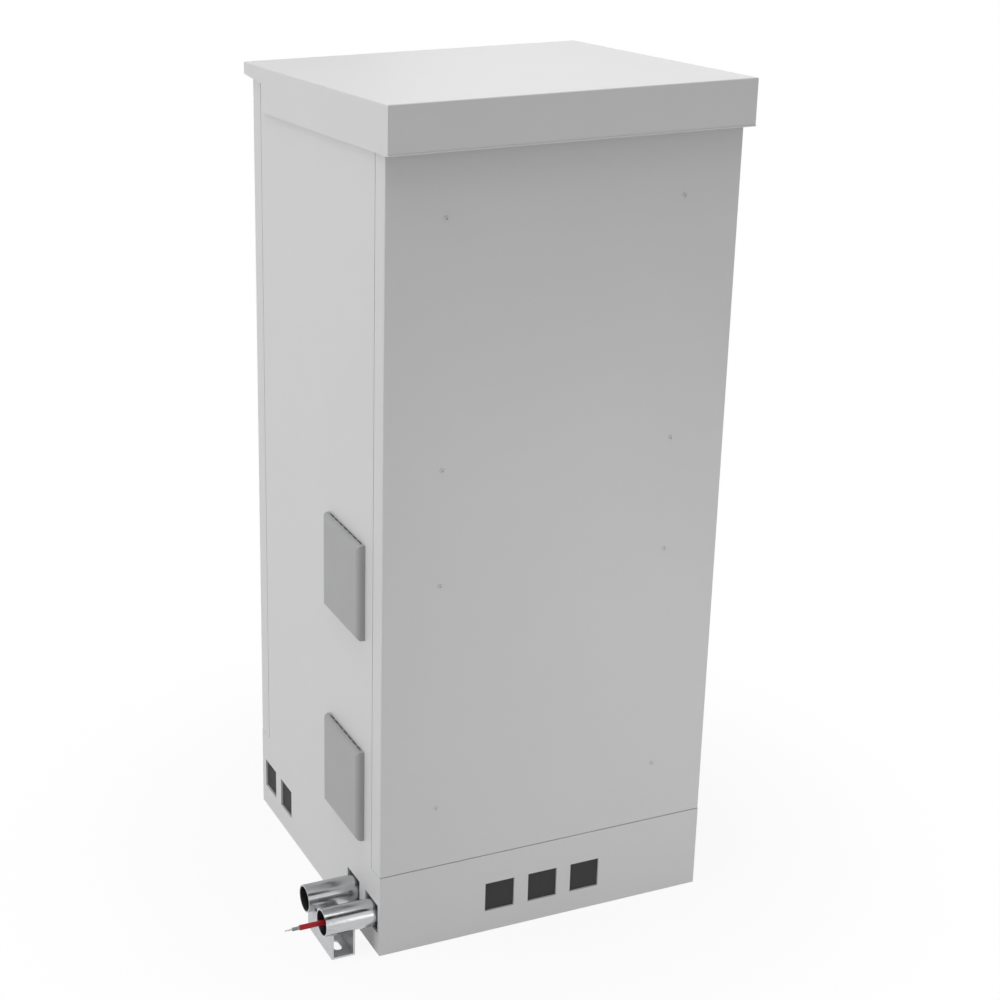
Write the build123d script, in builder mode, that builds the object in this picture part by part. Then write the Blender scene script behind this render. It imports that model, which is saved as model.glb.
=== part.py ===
from build123d import *
import math
import os

# Outdoor 19 inch rack cabinet with a sloping rain roof, a plinth, two filter hoods and two conduits.
# All lengths are in millimetres. +Z is up, the front door faces -Y and the removable rear
# panel faces +Y. The hoods and the conduits are on the +X side. The origin is on the ground, in
# the middle of the four floor anchors.

# Cabinet envelope
width = 800
depth = 756
height = 1913
sheet = 2
bend_radius = 2.5
seat_gap = 0.3

# Plinth and floor
plinth_height = 198
plinth_joint = 0.8
panel_joint = 4
foot_width = 60
foot_thickness = 3
anchor_hole = 14
anchor_inset_x = 70
anchor_inset_y = 35
floor_top = 200
floor_flange = 20

# Door pan and rear panel pan
pan_depth = 48
seam = 2
rear_panel_tuck = 33

# Roof: a sheet cap that falls to the front
roof_fall = 75
roof_rear_overhang = 32
roof_front_overhang = 35
roof_side_overhang = 8
roof_skirt = 100
roof_skirt_setback = 28
roof_rim = 27
roof_hem = 10
roof_drip = 2

# Inner frame rings, their gaskets and the ceiling tray
frame_member = 50
frame_foot = 45
frame_head = 38
lip_height = 40
gasket_width = 16
side_return = 20
ceiling_drop = 25

# Rear panel posts and fixings
post_width = 40
post_depth = 35
post_inset = 131.5
screw_rise = 4
screw_inner_row = 130
screw_end_inset = 97
screw_crown = 7.5
screw_head_height = 3.3
screw_head_lean = 20
screw_socket = 4
screw_socket_depth = 2
screw_shank = 6
screw_length = 16
nut_width = 10
nut_height = 5

# Square cable entries in the plinth
entry_size = 72
entry_height = 88
entry_pitch = 107
entry_collar = 3
entry_cover = 84
entry_cover_thickness = 2
side_entry_rear_inset = 47
side_entry_front_inset = 58

# Conduits and their support
conduit_diameter = 63
conduit_wall = 3
conduit_outside = 118
conduit_inside = 60
support_inner = 47
support_outer = 102
support_thickness = 4.5
support_height = 68
support_end = 20
support_slot_width = 20
support_slot_length = 40
support_slot_spacing = 56

# Filter hoods
hood_width = 204
hood_height = 220
hood_depth = 18
hood_wall = 3
hood_edge = 11
hood_rear_inset = 92
upper_hood_height = 845
lower_hood_height = 355
hood_slot = 22
hood_slot_pitch = 26
hood_slot_width = 4
hood_slot_count = 7
scoop_radius = 1000
scoop_mark = 75
scoop_drop = 26

# Filter frames, mats and fan
duct_width = 168
duct_height = 184
duct_wall = 2.5
duct_depth = 38
duct_flange = 12
duct_flange_thickness = 3
duct_end = 3
duct_air = 1
grid_bar = 3
grid_pitch = 20
grid_count = 7
louvre_height = 14
louvre_pitch = 26
louvre_count = 5
mat_side_gap = 1
fan_size = 119
fan_depth = 38
fan_bore = 114
fan_corner = 6
motor_diameter = 44
motor_base = 4
strut_width = 5
shaft_diameter = 8
shaft_length = 16
running_fit = 0.05
hub_length = 26
hub_gap = 0.6
blade_count = 7
blade_root = 20
blade_tip = 54
blade_thickness = 2
blade_root_chord = 26
blade_tip_chord = 22
blade_root_pitch = 40
blade_tip_pitch = 62
guard_wire = 2
guard_rings = (56, 45, 34, 23, 12)

# Temperature switch of the fan
fan_switch_y = 40
fan_switch_z = 700
fan_switch_width = 34
fan_switch_height = 62
fan_switch_depth = 40
fan_switch_edge = 2
knob_diameter = 24
knob_height = 9
knob_stem = 6
knob_stem_length = 10
knob_ridge = 4
knob_drop = 12

# Hinges
hinge_end_inset = 155
hinge_barrel = 16
hinge_pin = 8
hinge_length = 80
hinge_leaf_width = 30
hinge_leaf_thickness = 3
hinge_leaf_inset = 1
hinge_air = 1
hinge_cap = 4

# Three-point latch
latch_inset = 92
crank_radius = 16
crank_pin = 6
crank_slack = 0.75
cam_radius = 22
cam_thickness = 4
cam_stand = 13
spindle_diameter = 12
spindle_square = 8
bush_diameter = 22
bush_gap = 1
rod_width = 20
rod_thickness = 3
rod_rest_gap = 4
rod_tail = 12
rod_chamfer = 4
guide_width = 34
guide_height = 14
guide_back = 3
guide_leg = 5
guide_near = 330
guide_end_inset = 80
keeper_width = 40
keeper_thickness = 4
keeper_slack = 0.8
handle_plate_width = 44
handle_plate_height = 150
handle_plate_thickness = 8
handle_hub = 32
handle_hub_height = 16
handle_length = 128
handle_grip = 20
handle_grip_thickness = 12
handle_round = 3
lock_diameter = 18
lock_height = 3
lock_drop = 50
key_slot = 2
key_slot_length = 10

# Rack rails
rack_unit = 44.45
rack_hole = 9.5
rack_hole_levels = (6.35, 22.225, 38.1)
rack_hole_x = 232.55
rack_opening = 450
rack_base = 46
rack_head = 40
rail_width = 32
rail_web = 30
rail_y = 260
rail_foot = 40
tie_height = 60
tie_slot_length = 90
tie_slot_width = 24
tie_slot_pitch = 130
tie_slot_count = 4

# Cable with its floor entry and terminal
cable_diameter = 12
cable_core_diameter = 8
cable_wire_diameter = 5
cable_core = 18
cable_wire = 16
cable_sheath_beyond = 52
entry_plate_width = 120
entry_plate_length = 60
entry_plate_thickness = 3
entry_plate_margin = 8
entry_plate_y = 292
grommet_diameter = 24
grommet_flange = 32
grommet_lip = 3
grommet_clearance = 1
grommet_shift_x = 1
grommet_shift_y = 2.6
terminal_x = 250
terminal_y = 300
terminal_z = 292
terminal_width = 36
terminal_height = 48
terminal_depth = 36
terminal_slot = 5
terminal_slot_depth = 6
bracket_width = 40
bracket_flange = 10
bracket_over = 8

# Earth bar
earth_y = -40
earth_z = 330
earth_length = 220
earth_width = 25
earth_thickness = 5
earth_rise = 30
earth_foot = 25
earth_hole = 9
earth_hole_pitch = 26
earth_hole_count = 4

# Places worked out from the sizes above
half_width = width / 2
half_depth = depth / 2
inner_x = half_width - sheet
inner_y = half_depth - sheet
seam_y = half_depth - pan_depth - seam
ring_y = seam_y - sheet
ring_back = ring_y - sheet
roof_front_height = height - roof_fall
roof_rim_bottom = roof_front_height - roof_rim
roof_back_y = half_depth + roof_rear_overhang
roof_front_y = half_depth + roof_front_overhang
roof_half = half_width + roof_side_overhang
roof_slope = roof_fall / (roof_back_y + roof_front_y)
pan_bottom = plinth_height + plinth_joint
door_top = roof_rim_bottom - panel_joint
rear_panel_top = height - rear_panel_tuck
frame_top = door_top - panel_joint
ceiling_height = frame_top - ceiling_drop
lip_end = ring_y + lip_height
lip_x = half_width - frame_member
lip_bottom = floor_top + frame_foot
lip_top = frame_top - frame_head
lip_middle = (lip_bottom + lip_top) / 2
lip_span = lip_top - lip_bottom
post_x = half_width - post_inset
screw_middle = lip_middle + screw_rise
screw_outer_row = lip_span / 2 - screw_end_inset
hinge_heights = {
    "bottom": lip_bottom + hinge_end_inset,
    "middle": lip_middle,
    "top": lip_top - hinge_end_inset,
}
latch_x = half_width - latch_inset
latch_z = lip_middle
guide_offsets = (guide_near, lip_span / 2 - guide_end_inset)
rack_bottom = floor_top + rack_base
rack_units = int((ceiling_height - rack_head - rack_bottom) / rack_unit)
tie_z = (floor_top + ceiling_height) / 2
hood_y = half_depth - hood_rear_inset - hood_width / 2
rear_entries = [(x, entry_height) for x in (-entry_pitch, 0, entry_pitch)]
near_conduit_y = half_depth - side_entry_rear_inset
far_conduit_y = near_conduit_y - entry_pitch
front_entry_y = -half_depth + side_entry_front_inset
conduit_entries = [(near_conduit_y, entry_height), (far_conduit_y, entry_height)]
blank_entries = [(front_entry_y, entry_height), (front_entry_y + entry_pitch, entry_height)]
conduit_radius = conduit_diameter / 2
conduit_end = half_width + conduit_outside
duct_x = half_width - duct_depth
fan_inner_x = duct_x - fan_depth
cam_y = inner_y - cam_stand
rod_y = cam_y - cam_thickness - seat_gap
crank_offset = crank_radius * math.sqrt(0.5)
rod_offset = (crank_radius + crank_offset) / 2
rod_top = lip_top - rod_rest_gap
rod_bottom = lip_bottom + rod_rest_gap
hinge_x = -half_width - hinge_air - hinge_barrel / 2
hinge_y = -seam_y - seam / 2
terminal_back = ring_back - sheet

os.makedirs("parts", exist_ok=True)


def save(piece, name):
    """Label one finished piece and write it to its own file."""
    piece.label = name
    export_step(piece, "parts/" + name + ".step")


def roof_top(y):
    """Height of the roof's upper face above the line y."""
    return height - roof_slope * (roof_back_y - y)


def roof_seat(y):
    """Height at which something under the roof sheet stops."""
    return roof_top(y) - sheet - seat_gap


def block(low, high, mode=Mode.ADD):
    """A block between two opposite corners."""
    lengths = [b - a for a, b in zip(low, high)]
    with Locations((Vector(*low) + Vector(*high)) / 2):
        Box(*lengths, mode=mode)


def entry_collars(plane, inward, places):
    """Short collars drawn from the sheet round the square entries."""
    with BuildSketch(plane) as collars:
        with Locations(*places):
            Rectangle(entry_size + 2 * sheet, entry_size + 2 * sheet)
            Rectangle(entry_size, entry_size, mode=Mode.SUBTRACT)
    extrude(collars.sketch, amount=inward * entry_collar)


def side_panel(side):
    """One sheet from the ground to the roof, folded in beside the door and the rear panel."""
    outline = [(-half_depth, 0), (half_depth, 0), (half_depth, plinth_height)]
    outline += [(seam_y, plinth_height), (seam_y, roof_seat(seam_y))]
    outline += [(-seam_y, roof_seat(-seam_y)), (-seam_y, plinth_height), (-half_depth, plinth_height)]
    sheet_plane = Plane.YZ.offset(inner_x if side > 0 else -half_width)
    fold_x = inner_x - side_return / 2
    with BuildPart() as panel:
        with BuildSketch(sheet_plane):
            with BuildLine():
                Polyline(*outline, close=True)
            make_face()
            with Locations(*conduit_entries, *blank_entries):
                Rectangle(entry_size, entry_size, mode=Mode.SUBTRACT)
            if side > 0:
                with Locations((hood_y, upper_hood_height), (hood_y, lower_hood_height)):
                    Rectangle(duct_width + 2 * duct_air, duct_height + 2 * duct_air, mode=Mode.SUBTRACT)
        extrude(amount=sheet)
        entry_collars(Plane.YZ.offset(side * inner_x), -side, conduit_entries + blank_entries)
        with BuildSketch(Plane.XY.offset(plinth_height)):
            with Locations((side * fold_x, ring_y + sheet / 2), (side * fold_x, -ring_y - sheet / 2)):
                Rectangle(side_return, sheet)
        extrude(amount=frame_top - plinth_height)
    return panel.part


def plinth_sheet():
    """The rear plinth: an upright sheet with three entries, a top fold and an anchored foot."""
    with BuildPart() as plinth:
        with BuildSketch(Plane.XZ.offset(-half_depth)):
            with Locations((0, plinth_height / 2)):
                Rectangle(2 * inner_x, plinth_height)
            with Locations(*rear_entries):
                Rectangle(entry_size, entry_size, mode=Mode.SUBTRACT)
        extrude(amount=sheet)
        entry_collars(Plane.XZ.offset(-inner_y), 1, rear_entries)
        block((-inner_x, ring_back, plinth_height - sheet), (inner_x, half_depth, plinth_height))
        block((-inner_x, half_depth - foot_width, 0), (inner_x, half_depth, foot_thickness))
        with Locations((0, half_depth - anchor_inset_y, foot_thickness)):
            with GridLocations(width - 2 * anchor_inset_x, 0, 2, 1):
                Hole(anchor_hole / 2, foot_thickness)
    return plinth.part


def frame_ring():
    """The front ring: a flat member all round with a lip that stands into the door pan."""
    ring_plane = Plane.XZ.offset(ring_back)
    with BuildPart() as ring:
        with BuildSketch(ring_plane):
            with Locations((0, (plinth_height + frame_top) / 2)):
                Rectangle(2 * inner_x, frame_top - plinth_height)
            with Locations((0, lip_middle)):
                Rectangle(2 * lip_x, lip_span, mode=Mode.SUBTRACT)
        extrude(amount=sheet)
        with BuildSketch(ring_plane):
            with Locations((0, lip_middle)):
                Rectangle(2 * lip_x + 2 * sheet, lip_span + 2 * sheet)
                Rectangle(2 * lip_x, lip_span, mode=Mode.SUBTRACT)
        extrude(amount=sheet + lip_height)
    return ring.part


def gasket_ring():
    """The foam strip on the door's inner face, square on to the ring's lip."""
    long_way = lip_span + sheet
    wide_way = 2 * lip_x + sheet
    with BuildPart() as gasket:
        with BuildSketch(Plane.XZ.offset(lip_end + seat_gap)):
            with Locations((0, lip_middle)):
                Rectangle(wide_way + gasket_width, long_way + gasket_width)
                Rectangle(wide_way - gasket_width, long_way - gasket_width, mode=Mode.SUBTRACT)
        extrude(amount=inner_y - lip_end - seat_gap)
    return gasket.part


def pan(top):
    """A panel folded from one sheet: its face to the front and four edges turned back."""
    with BuildPart() as tray:
        with BuildSketch(Plane.XZ.offset(half_depth - pan_depth)):
            with Locations((0, (pan_bottom + top) / 2)):
                Rectangle(width, top - pan_bottom)
        extrude(amount=pan_depth)
        fillet(tray.faces().sort_by(Axis.Y)[0].edges(), bend_radius)
        offset(amount=-sheet, openings=tray.faces().sort_by(Axis.Y)[-1])
    return tray.part


def to_rear(piece):
    """The same piece turned over to the rear of the cabinet."""
    with BuildPart() as turned:
        add(piece)
        mirror(about=Plane.XZ, mode=Mode.REPLACE)
    return turned.part


def to_left(piece):
    """The same piece turned over to the left of the cabinet."""
    with BuildPart() as turned:
        add(piece)
        mirror(about=Plane.YZ, mode=Mode.REPLACE)
    return turned.part


def entry_covers(plane, inward, places, bore=0):
    """Moulded plates on the inner ends of the collars, plain or with a bore."""
    with BuildPart() as covers:
        with BuildSketch(plane):
            with Locations(*places):
                Rectangle(entry_cover, entry_cover)
                if bore:
                    Circle(bore, mode=Mode.SUBTRACT)
        extrude(amount=inward * entry_cover_thickness)
    return covers.part


# The carcass: two side sheets, the plinth, the floor and the ceiling tray
save(side_panel(1), "side_panel_right")
save(side_panel(-1), "side_panel_left")
rear_plinth = plinth_sheet()
save(rear_plinth, "plinth_rear")
save(to_rear(rear_plinth), "plinth_front")

with BuildPart() as floor_plate:
    block((-inner_x, -ring_back, floor_top - floor_flange), (inner_x, ring_back, floor_top))
    offset(amount=-sheet, openings=floor_plate.faces().sort_by(Axis.Z)[0])
    with Locations((terminal_x, entry_plate_y, floor_top)):
        Box(
            entry_plate_width - 2 * entry_plate_margin,
            entry_plate_length - 2 * entry_plate_margin,
            4 * sheet,
            mode=Mode.SUBTRACT,
        )
save(floor_plate.part, "floor_plate")

with BuildPart() as ceiling_tray:
    with BuildSketch(Plane.YZ.offset(-inner_x)):
        with BuildLine():
            Polyline(
                (-ring_back, ceiling_height),
                (ring_back, ceiling_height),
                (ring_back, roof_seat(ring_back)),
                (-ring_back, roof_seat(-ring_back)),
                close=True,
            )
        make_face()
    extrude(amount=2 * inner_x)
    offset(amount=-sheet, openings=ceiling_tray.faces().sort_by(Axis.Z)[-1])
save(ceiling_tray.part, "ceiling_tray")

# The roof: one folded cap with a deep skirt on three sides and a shallow rim above the door
skirt_front = -seam_y + roof_skirt_setback
with BuildPart() as roof_cap:
    with BuildSketch(Plane.YZ.offset(-roof_half)):
        with BuildLine():
            Polyline(
                (-roof_front_y, roof_rim_bottom),
                (skirt_front, roof_rim_bottom),
                (skirt_front, roof_top(skirt_front) - roof_skirt),
                (roof_back_y, height - roof_skirt),
                (roof_back_y, height),
                (-roof_front_y, roof_front_height),
                close=True,
            )
        make_face()
    extrude(amount=2 * roof_half)
    fillet(roof_cap.faces().sort_by(Axis.Z)[-1].edges(), bend_radius)
    with BuildSketch(Plane.YZ.offset(-roof_half + sheet)):
        with BuildLine():
            Polyline(
                (-roof_front_y + sheet, 0),
                (roof_back_y - sheet, 0),
                (roof_back_y - sheet, roof_top(roof_back_y - sheet) - sheet),
                (-roof_front_y + sheet, roof_top(-roof_front_y + sheet) - sheet),
                close=True,
            )
        make_face()
    extrude(amount=2 * (roof_half - sheet), mode=Mode.SUBTRACT)
    hem_bottom = height - roof_skirt
    block(
        (-roof_half + sheet, roof_back_y - roof_hem, hem_bottom),
        (roof_half - sheet, roof_back_y - sheet, hem_bottom + sheet),
    )
    block(
        (-roof_half, roof_back_y - sheet, hem_bottom),
        (roof_half, roof_back_y + roof_drip, hem_bottom + sheet),
    )
save(roof_cap.part, "roof_cap")

# The frame rings and their gaskets
front_ring = frame_ring()
save(to_rear(front_ring), "rear_frame")
with BuildPart() as front_frame:
    add(front_ring)
    for sign, level in ((1, lip_top), (-1, lip_bottom)):
        with Locations((latch_x + sign * rod_offset, -rod_y + rod_thickness / 2, level)):
            Box(
                rod_width + 2 * keeper_slack,
                rod_thickness + 2 * keeper_slack,
                4 * sheet,
                mode=Mode.SUBTRACT,
            )
save(front_frame.part, "front_frame")
door_gasket = gasket_ring()
save(door_gasket, "door_gasket")
save(to_rear(door_gasket), "rear_gasket")

# The rear panel on two posts, with its eight screws
post_top = lip_top - seat_gap
post_bottom = lip_bottom + seat_gap
post_face = inner_y - seat_gap
screw_rows = (-screw_outer_row, -screw_inner_row, screw_inner_row, screw_outer_row)
screw_places = [(x, screw_middle + row) for x in (-post_x, post_x) for row in screw_rows]

with BuildPart() as rear_panel:
    add(to_rear(pan(rear_panel_top)))
    with BuildSketch(Plane.XZ.offset(-half_depth)):
        with Locations(*screw_places):
            Circle(screw_shank / 2 + seat_gap)
    extrude(amount=sheet, mode=Mode.SUBTRACT)
save(rear_panel.part, "rear_panel")

for name, side in (("left", -1), ("right", 1)):
    with BuildPart() as post:
        with BuildSketch(Plane.XY.offset(post_bottom)):
            with Locations((side * post_x, post_face - post_depth / 2)):
                Rectangle(post_width, post_depth)
            with Locations((side * post_x, post_face - sheet - post_depth / 2)):
                Rectangle(post_width - 2 * sheet, post_depth, mode=Mode.SUBTRACT)
        extrude(amount=post_top - post_bottom)
        with BuildSketch(Plane.XZ.offset(-post_face)):
            with Locations(*[(side * post_x, screw_middle + row) for row in screw_rows]):
                Circle(screw_shank / 2 + seat_gap)
        extrude(amount=sheet, mode=Mode.SUBTRACT)
        near_x = side * post_x - post_width / 2
        far_x = side * post_x + post_width / 2
        notch = gasket_width / 2 - sheet / 2 + seat_gap
        for low, high in ((post_bottom, lip_bottom + notch), (lip_top - notch, post_top)):
            block((near_x, lip_end, low), (far_x, post_face, high), Mode.SUBTRACT)
    save(post.part, "rear_post_" + name)

nut_face = post_face - sheet - seat_gap
with BuildPart() as rear_panel_screws:
    with BuildSketch(Plane.XZ.offset(-half_depth - screw_head_height)):
        with Locations(*screw_places):
            Circle(screw_crown / 2)
    extrude(amount=screw_head_height - seat_gap, taper=-screw_head_lean)
    with BuildSketch(Plane.XZ.offset(-half_depth - screw_head_height)):
        with Locations(*screw_places):
            RegularPolygon(screw_socket / 2, 6, major_radius=False)
    extrude(amount=screw_socket_depth, mode=Mode.SUBTRACT)
    with BuildSketch(Plane.XZ.offset(-half_depth - seat_gap)):
        with Locations(*screw_places):
            Circle(screw_shank / 2)
    extrude(amount=screw_length)
    with BuildSketch(Plane.XZ.offset(-nut_face)):
        with Locations(*screw_places):
            RegularPolygon(nut_width / 2, 6, major_radius=False)
    extrude(amount=nut_height)
save(rear_panel_screws.part, "rear_panel_screws")

# The front door
with BuildPart() as front_door:
    add(pan(door_top))
    with Locations((latch_x, -half_depth, latch_z)):
        Cylinder(bush_diameter / 2 + seat_gap, 4 * sheet, rotation=(90, 0, 0), mode=Mode.SUBTRACT)
save(front_door.part, "front_door")

# Lift-off hinges on the left edge: the frame leaf has the pin, the door leaf drops over it
leaf_outer = -half_width - hinge_leaf_thickness
for name, level in hinge_heights.items():
    low = level - hinge_length / 2
    high = level + hinge_length / 2
    with BuildPart() as frame_leaf:
        with BuildSketch(Plane.XY.offset(low)):
            with Locations((hinge_x, hinge_y)):
                Circle(hinge_barrel / 2)
        extrude(amount=hinge_length / 2 - seat_gap)
        leaf_y = -seam_y + hinge_leaf_inset
        block((leaf_outer, leaf_y, low), (-half_width, leaf_y + hinge_leaf_width, level - seat_gap))
        with BuildSketch(Plane.XY.offset(level - hinge_barrel)):
            with Locations((hinge_x, hinge_y)):
                Circle(hinge_pin / 2)
        extrude(amount=hinge_barrel + hinge_length / 2 - hinge_cap - 1)
    save(frame_leaf.part, "hinge_frame_leaf_" + name)
    with BuildPart() as door_leaf:
        with BuildSketch(Plane.XY.offset(level)):
            with Locations((hinge_x, hinge_y)):
                Circle(hinge_barrel / 2)
        extrude(amount=hinge_length / 2)
        leaf_y = -seam_y - seam - hinge_leaf_inset
        block((leaf_outer, leaf_y - hinge_leaf_width, level), (-half_width, leaf_y, high))
        with BuildSketch(Plane.XY.offset(level)):
            with Locations((hinge_x, hinge_y)):
                Circle(hinge_pin / 2 + running_fit)
        extrude(amount=hinge_length / 2 - hinge_cap, mode=Mode.SUBTRACT)
    save(door_leaf.part, "hinge_door_leaf_" + name)

# The latch outside: a plate with a bush and a lock, and the lever on its spindle
plate_face = half_depth + handle_plate_thickness
bush_end = cam_y + bush_gap
with BuildPart() as handle_plate:
    with BuildSketch(Plane.XZ.offset(half_depth)):
        with Locations((latch_x, latch_z - (lock_drop - handle_plate_width / 2) / 2)):
            RectangleRounded(handle_plate_width, handle_plate_height, handle_plate_width / 3)
    extrude(amount=handle_plate_thickness)
    fillet(handle_plate.faces().sort_by(Axis.Y)[0].edges(), bend_radius)
    with BuildSketch(Plane.XZ.offset(bush_end)):
        with Locations((latch_x, latch_z)):
            Circle(bush_diameter / 2)
    extrude(amount=half_depth - bush_end)
    with BuildSketch(Plane.XZ.offset(bush_end)):
        with Locations((latch_x, latch_z)):
            Circle(spindle_diameter / 2 + running_fit)
    extrude(amount=plate_face - bush_end, mode=Mode.SUBTRACT)
    with BuildSketch(Plane.XZ.offset(plate_face)):
        with Locations((latch_x, latch_z - lock_drop)):
            Circle(lock_diameter / 2)
            Rectangle(key_slot, key_slot_length, mode=Mode.SUBTRACT)
    extrude(amount=lock_height)
save(handle_plate.part, "handle_plate")

with BuildPart() as door_handle:
    with BuildSketch(Plane.XZ.offset(plate_face + seat_gap)):
        with Locations((latch_x, latch_z)):
            Circle(handle_hub / 2)
    extrude(amount=handle_hub_height)
    lever_low = plate_face + seat_gap + handle_hub_height - handle_grip_thickness
    with BuildSketch(Plane.XZ.offset(lever_low)):
        with Locations((latch_x - handle_length / 2, latch_z)):
            SlotOverall(handle_length + handle_grip, handle_grip)
    extrude(amount=handle_grip_thickness)
    fillet(door_handle.faces().sort_by(Axis.Y)[0].edges(), handle_round)
    with BuildSketch(Plane.XZ.offset(cam_y + seat_gap)):
        with Locations((latch_x, latch_z)):
            Circle(spindle_diameter / 2)
    extrude(amount=plate_face - cam_y)
    with BuildSketch(Plane.XZ.offset(cam_y - cam_thickness)):
        with Locations((latch_x, latch_z)):
            Rectangle(spindle_square, spindle_square)
    extrude(amount=cam_thickness + seat_gap)
save(door_handle.part, "door_handle")

# The cam inside the door, with two crank pins that drive the rods
crank_places = [
    (latch_x + crank_offset, latch_z - crank_offset),
    (latch_x - crank_offset, latch_z + crank_offset),
]
with BuildPart() as latch_cam:
    with BuildSketch(Plane.XZ.offset(cam_y - cam_thickness)):
        with Locations((latch_x, latch_z)):
            Circle(cam_radius)
            Rectangle(spindle_square + seat_gap, spindle_square + seat_gap, mode=Mode.SUBTRACT)
    extrude(amount=cam_thickness)
    with BuildSketch(Plane.XZ.offset(cam_y - cam_thickness)):
        with Locations(*crank_places):
            Circle(crank_pin / 2)
    extrude(amount=-rod_thickness - 2 * seat_gap)
save(latch_cam.part, "latch_cam")

# The two rods, drawn back at rest, each with a cross slot for its crank pin
slot_width = crank_radius - crank_offset + crank_pin + 2 * crank_slack
slot_height = crank_pin + 2 * crank_slack
for name, sign, end in (("upper", 1, rod_top), ("lower", -1, rod_bottom)):
    pin_z = latch_z - sign * crank_offset
    tail = pin_z - sign * rod_tail
    rod_x = latch_x + sign * rod_offset
    with BuildPart() as rod:
        with BuildSketch(Plane.XZ.offset(rod_y - rod_thickness)):
            with Locations((rod_x, (tail + end) / 2)):
                Rectangle(rod_width, abs(end - tail))
            with Locations((rod_x, pin_z)):
                Rectangle(slot_width, slot_height, mode=Mode.SUBTRACT)
        extrude(amount=rod_thickness)
        tips = rod.faces().sort_by(Axis.Z)[-1 if sign > 0 else 0].edges().filter_by(Axis.Y)
        chamfer(tips, rod_chamfer)
    save(rod.part, name + "_rod")

# Guides that carry the rods on the door's inner face
guide_front = rod_y - rod_thickness - guide_back
guide_seat = rod_y + guide_back
with BuildPart() as rod_guides:
    for sign in (1, -1):
        rod_x = latch_x + sign * rod_offset
        for away in guide_offsets:
            level = latch_z + sign * away
            with BuildSketch(Plane.XY.offset(level - guide_height / 2)):
                with Locations((rod_x, -(guide_front + inner_y) / 2)):
                    Rectangle(guide_width, inner_y - guide_front)
                with Locations((rod_x, -rod_y + rod_thickness / 2)):
                    Rectangle(rod_width + 2 * seat_gap, rod_thickness + 2 * seat_gap, mode=Mode.SUBTRACT)
                with Locations((rod_x, -(inner_y + guide_seat) / 2)):
                    Rectangle(guide_width - 2 * guide_leg, inner_y - guide_seat, mode=Mode.SUBTRACT)
            extrude(amount=guide_height)
save(rod_guides.part, "rod_guides")

# Keeper plates outside the lips, where the rods shoot through
with BuildPart() as rod_keepers:
    for sign, level in ((1, lip_top + sheet), (-1, lip_bottom - sheet - keeper_thickness)):
        with BuildSketch(Plane.XY.offset(level)):
            with Locations((latch_x + sign * rod_offset, -rod_y + rod_thickness / 2)):
                Rectangle(keeper_width, rod_thickness + gasket_width / 2)
                Rectangle(
                    rod_width + 2 * keeper_slack,
                    rod_thickness + 2 * keeper_slack,
                    mode=Mode.SUBTRACT,
                )
        extrude(amount=keeper_thickness)
save(rod_keepers.part, "rod_keepers")


# Rack rails: an angle with square holes in the rack pattern and a foot at each end
def rack_rail():
    """The front right rail, from the floor to the ceiling."""
    inner_edge = rack_opening / 2
    web_x = inner_edge + rail_width
    units = range(rack_units)
    hole_levels = [rack_bottom + unit * rack_unit + step for unit in units for step in rack_hole_levels]
    with BuildPart() as rail:
        with BuildSketch(Plane.XY.offset(floor_top)):
            with Locations((inner_edge + rail_width / 2, -rail_y + sheet / 2)):
                Rectangle(rail_width, sheet)
            with Locations((web_x - sheet / 2, -rail_y + rail_web / 2)):
                Rectangle(sheet, rail_web)
        extrude(amount=ceiling_height - floor_top)
        for level in (floor_top, ceiling_height - sheet):
            block((web_x - sheet, -rail_y, level), (web_x + rail_foot, -rail_y + rail_web, level + sheet))
        with BuildSketch(Plane.XZ.offset(rail_y)):
            with Locations(*[(rack_hole_x, level) for level in hole_levels]):
                Rectangle(rack_hole, rack_hole)
        extrude(amount=-sheet, mode=Mode.SUBTRACT)
    return rail.part


front_right = rack_rail()
save(front_right, "rack_rail_front_right")
save(to_left(front_right), "rack_rail_front_left")
rear_right = to_rear(front_right)
save(rear_right, "rack_rail_rear_right")
save(to_left(rear_right), "rack_rail_rear_left")

with BuildPart() as rail_tie:
    with BuildSketch(Plane.YZ.offset(rack_opening / 2 + rail_width)):
        with Locations((0, tie_z)):
            Rectangle(2 * rail_y, tie_height)
            with GridLocations(tie_slot_pitch, 0, tie_slot_count, 1):
                SlotOverall(tie_slot_length, tie_slot_width, mode=Mode.SUBTRACT)
    extrude(amount=sheet)
save(rail_tie.part, "rail_tie_right")
save(to_left(rail_tie.part), "rail_tie_left")

# Covers behind the square entries
cover_x = inner_x - entry_collar
cover_y = inner_y - entry_collar
left_plane = Plane.YZ.offset(-cover_x)
right_plane = Plane.YZ.offset(cover_x)
save(entry_covers(Plane.XZ.offset(-cover_y), 1, rear_entries), "rear_entry_covers")
save(entry_covers(Plane.XZ.offset(cover_y), -1, rear_entries), "front_entry_covers")
save(entry_covers(left_plane, 1, conduit_entries + blank_entries), "left_entry_covers")
save(entry_covers(right_plane, -1, blank_entries), "right_entry_covers")
bore = conduit_radius + seat_gap
save(entry_covers(right_plane, -1, conduit_entries, bore), "conduit_entry_covers")

# The two conduits and the channel that carries their outer ends
for name, y in (("near_conduit", near_conduit_y), ("far_conduit", far_conduit_y)):
    with BuildPart() as conduit:
        with BuildSketch(Plane.YZ.offset(half_width - conduit_inside)):
            with Locations((y, entry_height)):
                Circle(conduit_radius)
                Circle(conduit_radius - conduit_wall, mode=Mode.SUBTRACT)
        extrude(amount=conduit_inside + conduit_outside)
    save(conduit.part, name)

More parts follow.
